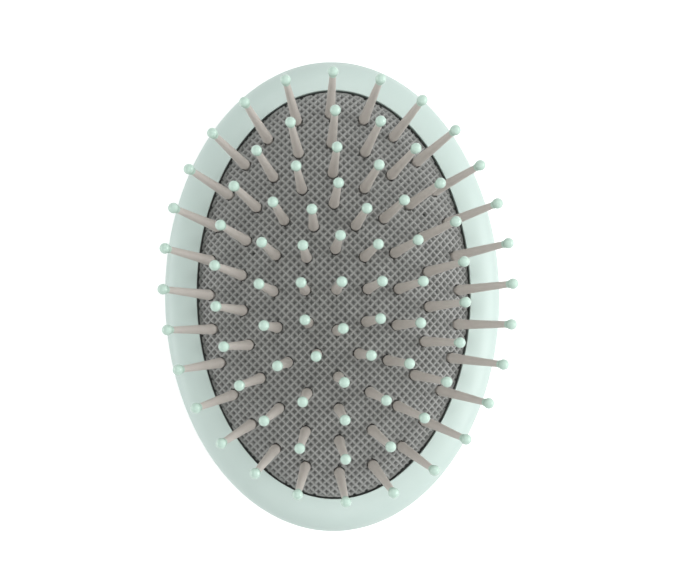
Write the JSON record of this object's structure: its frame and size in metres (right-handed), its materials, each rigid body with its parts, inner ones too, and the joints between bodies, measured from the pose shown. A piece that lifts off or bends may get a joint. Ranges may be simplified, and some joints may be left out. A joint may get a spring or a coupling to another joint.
{
  "type": "palm cushion brush",
  "caption": "Oval palm-held hair brush: a domed rubber air cushion with fanned, ball-tipped massage pins, clamped in a smooth egg-shaped shell.",
  "frame": {"origin": "centre of the flat on the back that the brush rests on", "axes": "+Z out of the pin side, +Y along the brush, +X across it"},
  "size_m": [0.0797, 0.1068, 0.0543],
  "materials": {
    "shell_mint": "satin moulded",
    "cushion_rubber": "matt, fine diamond knurl",
    "pin_nylon": "satin moulded",
    "tip_mint": "glossy dipped",
    "ring_plastic": "moulded, unseen",
    "screw_steel": "zinc plated"
  },
  "bodies": {
    "housing": {"back_shell": "shell_mint", "front_frame": "shell_mint", "cushion": "cushion_rubber", "cushion_ring": "ring_plastic", "ring_screws": "screw_steel"},
    "centre_row": {"centre_pins": "pin_nylon", "centre_tips": "tip_mint"},
    "ring_1": {"ring_1_upper_right_pins": "pin_nylon", "ring_1_upper_right_tips": "tip_mint", "ring_1_lower_right_pins": "pin_nylon", "ring_1_lower_right_tips": "tip_mint", "ring_1_lower_left_pins": "pin_nylon", "ring_1_lower_left_tips": "tip_mint", "ring_1_upper_left_pins": "pin_nylon", "ring_1_upper_left_tips": "tip_mint"},
    "ring_2": {"ring_2_upper_right_pins": "pin_nylon", "ring_2_upper_right_tips": "tip_mint", "ring_2_lower_right_pins": "pin_nylon", "ring_2_lower_right_tips": "tip_mint", "ring_2_lower_left_pins": "pin_nylon", "ring_2_lower_left_tips": "tip_mint", "ring_2_upper_left_pins": "pin_nylon", "ring_2_upper_left_tips": "tip_mint"},
    "ring_3": {"ring_3_upper_right_pins": "pin_nylon", "ring_3_upper_right_tips": "tip_mint", "ring_3_lower_right_pins": "pin_nylon", "ring_3_lower_right_tips": "tip_mint", "ring_3_lower_left_pins": "pin_nylon", "ring_3_lower_left_tips": "tip_mint", "ring_3_upper_left_pins": "pin_nylon", "ring_3_upper_left_tips": "tip_mint"},
    "ring_4": {"ring_4_upper_right_pins": "pin_nylon", "ring_4_upper_right_tips": "tip_mint", "ring_4_lower_right_pins": "pin_nylon", "ring_4_lower_right_tips": "tip_mint", "ring_4_lower_left_pins": "pin_nylon", "ring_4_lower_left_tips": "tip_mint", "ring_4_upper_left_pins": "pin_nylon", "ring_4_upper_left_tips": "tip_mint"}
  },
  "joints": [
    {"name": "cushion_press", "type": "slide", "parent": "housing", "child": "centre_row", "axis": [0, 0, -1], "range_m": [0, 0.0045], "stiffness_N_per_m": 2500, "deforming": ["cushion"]},
    {"name": "ring_1_press", "type": "slide", "parent": "housing", "child": "ring_1", "axis": [0, 0, -1], "range_m": [0, 0.00424]},
    {"name": "ring_2_press", "type": "slide", "parent": "housing", "child": "ring_2", "axis": [0, 0, -1], "range_m": [0, 0.00367]},
    {"name": "ring_3_press", "type": "slide", "parent": "housing", "child": "ring_3", "axis": [0, 0, -1], "range_m": [0, 0.00274]},
    {"name": "ring_4_press", "type": "slide", "parent": "housing", "child": "ring_4", "axis": [0, 0, -1], "range_m": [0, 0.0012]}
  ],
  "couplings": [
    {"joint": "ring_1_press", "follows": "cushion_press", "ratio": 0.9425},
    {"joint": "ring_2_press", "follows": "cushion_press", "ratio": 0.8162},
    {"joint": "ring_3_press", "follows": "cushion_press", "ratio": 0.6073},
    {"joint": "ring_4_press", "follows": "cushion_press", "ratio": 0.2662}
  ]
}
